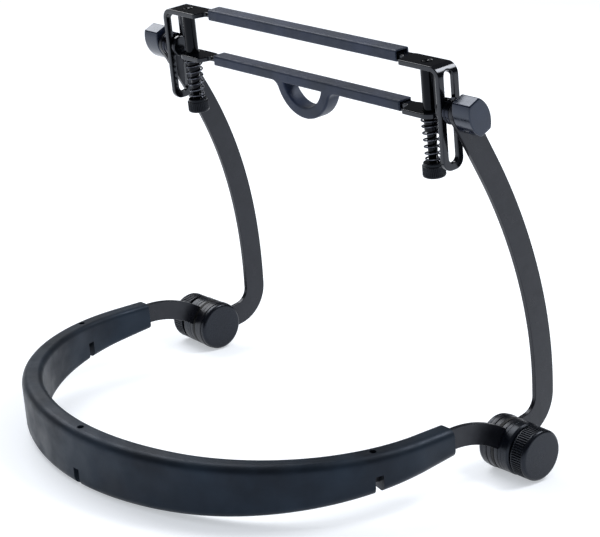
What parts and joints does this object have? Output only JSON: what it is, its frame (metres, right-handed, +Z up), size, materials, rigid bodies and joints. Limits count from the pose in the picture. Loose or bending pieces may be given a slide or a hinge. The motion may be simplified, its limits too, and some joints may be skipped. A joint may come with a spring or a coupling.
{
  "type": "harmonica holder",
  "caption": "Neck-worn harmonica holder: padded U-shaped band, friction hubs, curved flat arms and a sprung clamp with rubber-sleeved jaws on tilt pivots.",
  "frame": {"origin": "middle of the bounding box's base, on the surface that the holder stands on", "axes": "+X along the two hubs' common axis, +Y away from the wearer, from the neck band towards the hubs, +Z up"},
  "size_m": [0.2712, 0.2052, 0.2013],
  "materials": {
    "black_steel": "satin black powder coat on steel strap",
    "gloss_black_steel": "gloss black enamel on steel",
    "zinc_steel": "bright zinc-plated steel",
    "spring_steel": "black oiled spring wire with a metallic glint",
    "band_rubber": "matte blue-black soft rubber with a fine grain",
    "sleeve_rubber": "matte slate-grey rubber",
    "black_plastic": "satin black moulded plastic",
    "friction_fibre": "dull black fibre",
    "insert_brass": "turned brass"
  },
  "bodies": {
    "neck": {"neck_strip": "black_steel", "neck_band": "band_rubber", "left_hub_friction_disc": "friction_fibre", "left_hub_collar": "black_plastic", "left_hub_disc_spring": "zinc_steel", "right_hub_friction_disc": "friction_fibre", "right_hub_collar": "black_plastic", "right_hub_disc_spring": "zinc_steel"},
    "left_arm": {"left_arm": "black_steel", "left_hub_cap": "black_plastic", "left_hub_bolt": "zinc_steel", "left_hub_spacer": "black_steel"},
    "right_arm": {"right_arm": "black_steel", "right_hub_cap": "black_plastic", "right_hub_bolt": "zinc_steel", "right_hub_spacer": "black_steel"},
    "left_knob": {"left_hub_knob": "black_plastic", "left_hub_knob_insert": "insert_brass"},
    "right_knob": {"right_hub_knob": "black_plastic", "right_hub_knob_insert": "insert_brass"},
    "left_pivot": {"left_pivot_bolt": "gloss_black_steel", "left_pivot_collar": "zinc_steel"},
    "right_pivot": {"right_pivot_bolt": "gloss_black_steel", "right_pivot_collar": "zinc_steel"},
    "left_wing": {"left_wing_knob": "black_plastic", "left_wing_knob_insert": "insert_brass"},
    "right_wing": {"right_wing_knob": "black_plastic", "right_wing_knob_insert": "insert_brass"},
    "clamp": {"clamp_bracket": "gloss_black_steel", "upper_jaw_sleeve": "sleeve_rubber", "left_guide_post": "gloss_black_steel", "right_guide_post": "gloss_black_steel", "left_jaw_spring": "spring_steel", "right_jaw_spring": "spring_steel"},
    "lower_jaw": {"lower_jaw_bar": "gloss_black_steel", "lower_jaw_sleeve": "sleeve_rubber"},
    "left_nut": {"left_jaw_nut": "gloss_black_steel"},
    "right_nut": {"right_jaw_nut": "gloss_black_steel"}
  },
  "joints": [
    {"name": "arm_tilt", "type": "hinge", "parent": "neck", "child": "left_arm", "pos_m": [-0.1105, 0.06992, 0.01332], "axis": [1, 0, 0], "range_deg": [-35, 50]},
    {"name": "right_arm_tilt", "type": "hinge", "parent": "neck", "child": "right_arm", "pos_m": [0.1105, 0.06992, 0.01332], "axis": [1, 0, 0], "range_deg": [-35, 50]},
    {"name": "left_knob_turn", "type": "hinge", "parent": "left_arm", "child": "left_knob", "pos_m": [-0.1307, 0.06992, 0.01332], "axis": [-1, 0, 0], "range_deg": [0, 360]},
    {"name": "right_knob_turn", "type": "hinge", "parent": "right_arm", "child": "right_knob", "pos_m": [0.1307, 0.06992, 0.01332], "axis": [1, 0, 0], "range_deg": [0, 360]},
    {"name": "clamp_tilt", "type": "hinge", "parent": "left_arm", "child": "left_pivot", "pos_m": [-0.1074, 0.03643, 0.17755], "axis": [1, 0, 0], "range_deg": [-90, 90]},
    {"name": "right_clamp_tilt", "type": "hinge", "parent": "right_arm", "child": "right_pivot", "pos_m": [0.1074, 0.03643, 0.17755], "axis": [1, 0, 0], "range_deg": [-90, 90]},
    {"name": "left_wing_turn", "type": "hinge", "parent": "left_pivot", "child": "left_wing", "pos_m": [-0.1145, 0.03643, 0.17755], "axis": [-1, 0, 0], "range_deg": [0, 360]},
    {"name": "right_wing_turn", "type": "hinge", "parent": "right_pivot", "child": "right_wing", "pos_m": [0.1145, 0.03643, 0.17755], "axis": [1, 0, 0], "range_deg": [0, 360]},
    {"name": "clamp_height", "type": "slide", "parent": "left_pivot", "child": "clamp", "axis": [0, -0.1305, 0.9914], "range_m": [-0.011, 0.02]},
    {"name": "jaw_slide", "type": "slide", "parent": "clamp", "child": "lower_jaw", "axis": [0, -0.1305, 0.9914], "range_m": [-0.009, 0.0181], "stiffness_N_per_m": 600, "springref_m": 0.0231, "deforming": ["left_jaw_spring", "right_jaw_spring"]},
    {"name": "left_nut_turn", "type": "hinge", "parent": "clamp", "child": "left_nut", "pos_m": [-0.088, 0.03643, 0.17755], "axis": [0, -0.1305, 0.9914], "range_deg": [-360, 360]},
    {"name": "right_nut_turn", "type": "hinge", "parent": "clamp", "child": "right_nut", "pos_m": [0.088, 0.03643, 0.17755], "axis": [0, -0.1305, 0.9914], "range_deg": [-360, 360]}
  ],
  "couplings": [
    {"joint": "right_arm_tilt", "follows": "arm_tilt", "ratio": 1},
    {"joint": "right_clamp_tilt", "follows": "clamp_tilt", "ratio": 1}
  ]
}
